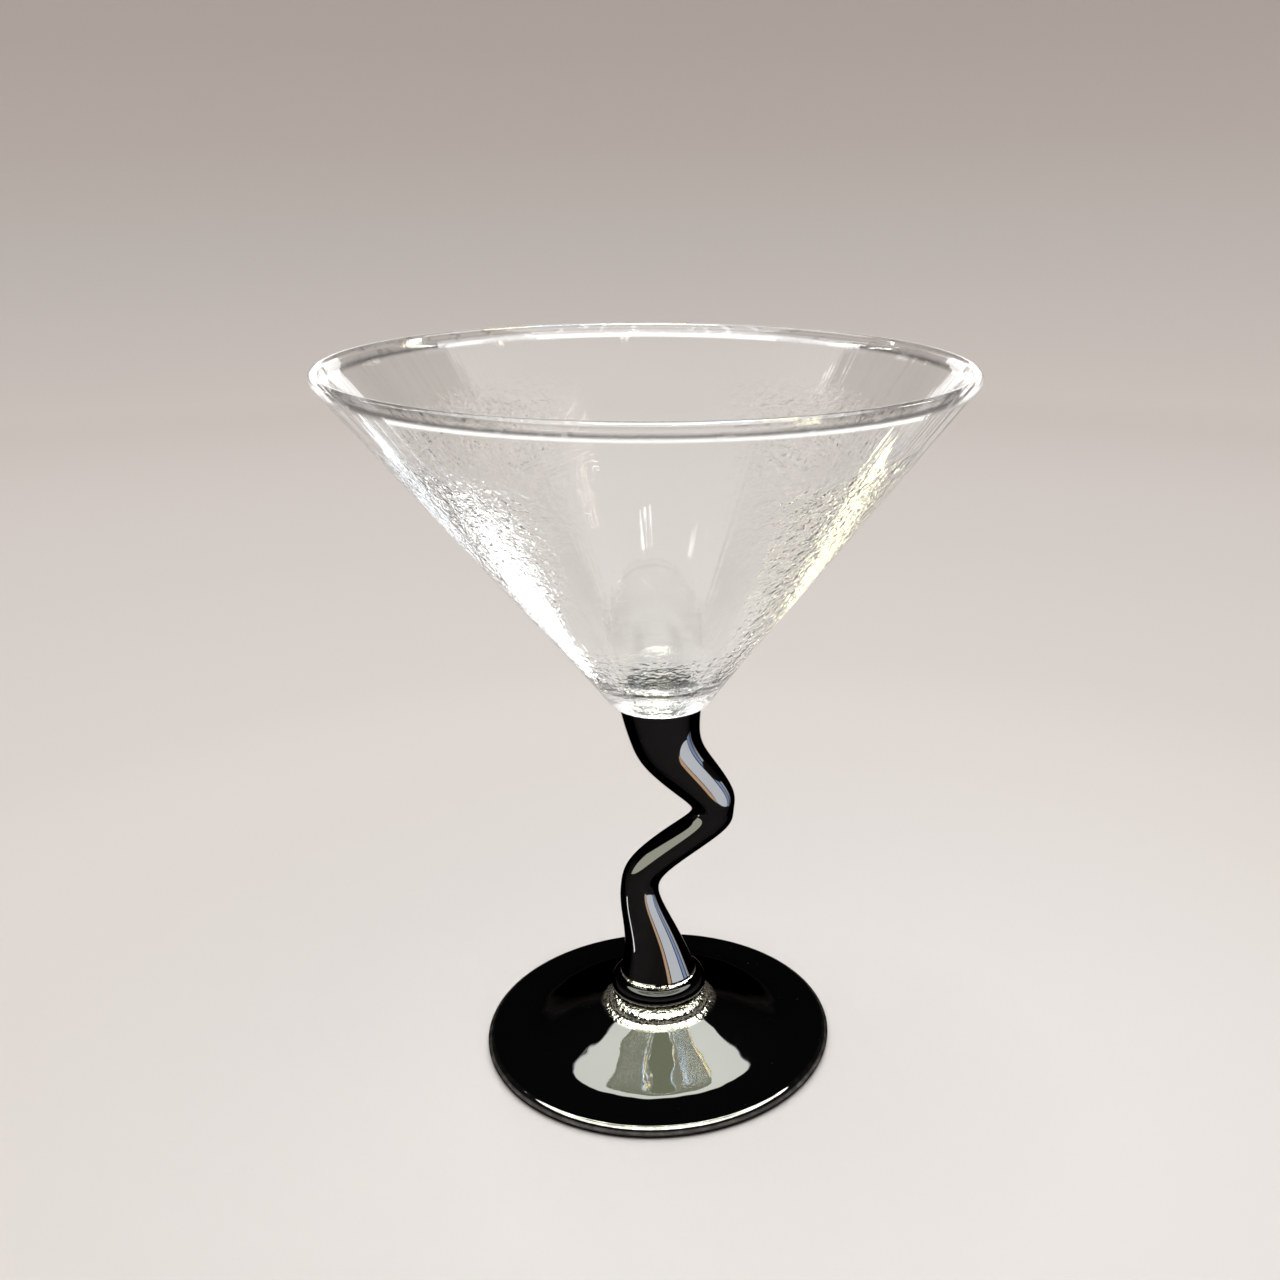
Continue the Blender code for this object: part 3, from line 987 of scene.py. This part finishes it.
panel("zenith_blue", 37, 72, 3, 9, 30.0, (0.35, 0.6, 1.0), for_bowl, STEM_MIDDLE, 0.8)
panel("zenith_gold", 43, 66, 4, 8, 22.0, (1.0, 0.72, 0.3), for_bowl, STEM_MIDDLE, 0.8)
for measures in BOWL_STREAKS:
    panel(*measures, for_bowl, BOWL_MIDDLE)
print(len(BOWL_STREAKS) + 4, "panels for the bowl")

# %% [markdown]
# ## Windows on the stem
# A black stem is seen almost only by its highlights. Four panels side by side make one tall
# window with a blue pane and an orange edge, and a wide beige one lights the slanting middle.
# Only black pieces can hide them, so their lower halves may reach below the table's height.

# %% Stem windows
# name, azimuth, elevation, width, height, radiance, colour, distance
STEM_WINDOWS = (
    ("stem_window_white", 121, -10, 38, 36, 40.0, (0.9, 0.94, 1.0), 0.6),
    ("stem_window_blue", 94, -10, 10, 34, 34.0, (0.45, 0.6, 1.0), 0.5),
    ("stem_window_edge", 82, -10, 8, 34, 40.0, (0.95, 0.97, 1.0), 0.6),
    ("stem_window_orange", 147, -10, 9, 36, 34.0, (1.0, 0.65, 0.4), 0.6),
    ("stem_beige", -136, 16, 60, 32, 28.0, (0.85, 0.85, 0.68), 0.6),
    ("stem_spot", -102, -29, 5, 9, 90.0, (1.0, 1.0, 1.0), 0.6),
)
for *measures, distance in STEM_WINDOWS:
    window = panel(*measures, for_stem, STEM_MIDDLE, distance)
    window.light_linking.blocker_collection = for_black
print(len(STEM_WINDOWS), "windows for the stem")

# %% [markdown]
# ## Flecks on the bowl's sides
# The steep sides of the bowl mirror only the table, so the light that the dimples break into
# flecks has to come from there: small bright cards that lie on it and face up.

# %% Low cards
CARD_HEIGHT = 4 * MM


def low_card(name, across, along, width, length, turn, radiance, colour):
    """A card lying just above the table and facing up, turned about Z by turn degrees."""
    lamp = softbox(name, (across, along, CARD_HEIGHT), (across, along, 1.0),
                   width, length, radiance, colour)
    lamp.matrix_world = lamp.matrix_world @ Matrix.Rotation(math.radians(turn), 4, "Z")
    lamp.light_linking.receiver_collection = for_bowl


# name, place in metres, width, length, turn, radiance, colour
LOW_CARDS = (
    ("low_left_near", -0.083, 0.062, 0.048, 0.050, 33, 8.0, (0.97, 0.98, 1.0)),
    ("low_left_far", -0.135, 0.185, 0.036, 0.120, 30, 2.2, (0.80, 0.90, 1.0)),
    ("low_right_card", 0.112, 0.110, 0.016, 0.110, -36, 10.0, (1.0, 0.95, 0.58)),
)
for measures in LOW_CARDS:
    low_card(*measures)
print(len(LOW_CARDS), "cards on the table")

# %% [markdown]
# ## The world
# What the lamps don't fill is the room: pale and warm near the horizon, where it continues the
# sweep, and nearly black overhead, so that black glass stays black. The ramp reads the upward
# part of the direction, which is the sine of the elevation.

# %% World
ROOM_STOPS = [                       # sine of the elevation, colour
    (0.0, (0.46, 0.42, 0.39)),
    (0.24, (0.42, 0.38, 0.35)),
    (0.40, (0.05, 0.05, 0.05)),
    (1.0, (0.04, 0.04, 0.04)),
]
world = bpy.data.worlds.new("studio")
bpy.context.scene.world = world
world.use_nodes = True
tree = world.node_tree
direction = Signal(make_node(tree, "ShaderNodeTexCoord").outputs["Generated"])
upward = split(direction)[2]
glow = upward.new("ShaderNodeValToRGB", {"stops": ROOM_STOPS}, {0: upward})
feed(tree.nodes["Background"], "Color", glow)
bpy.context.scene.view_settings.view_transform = "Standard"
print("the room turns dark", round(math.degrees(math.asin(0.40))), "degrees up")

# %% [markdown]
# ## Sizes
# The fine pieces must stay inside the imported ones' box. Both boxes are written down, so that
# they can be compared.

# %% Sizes
visual_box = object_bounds()
print("packed box", [[in_mm(v) for v in corner] for corner in cad_box])
print("visual box", [[in_mm(v) for v in corner] for corner in visual_box])
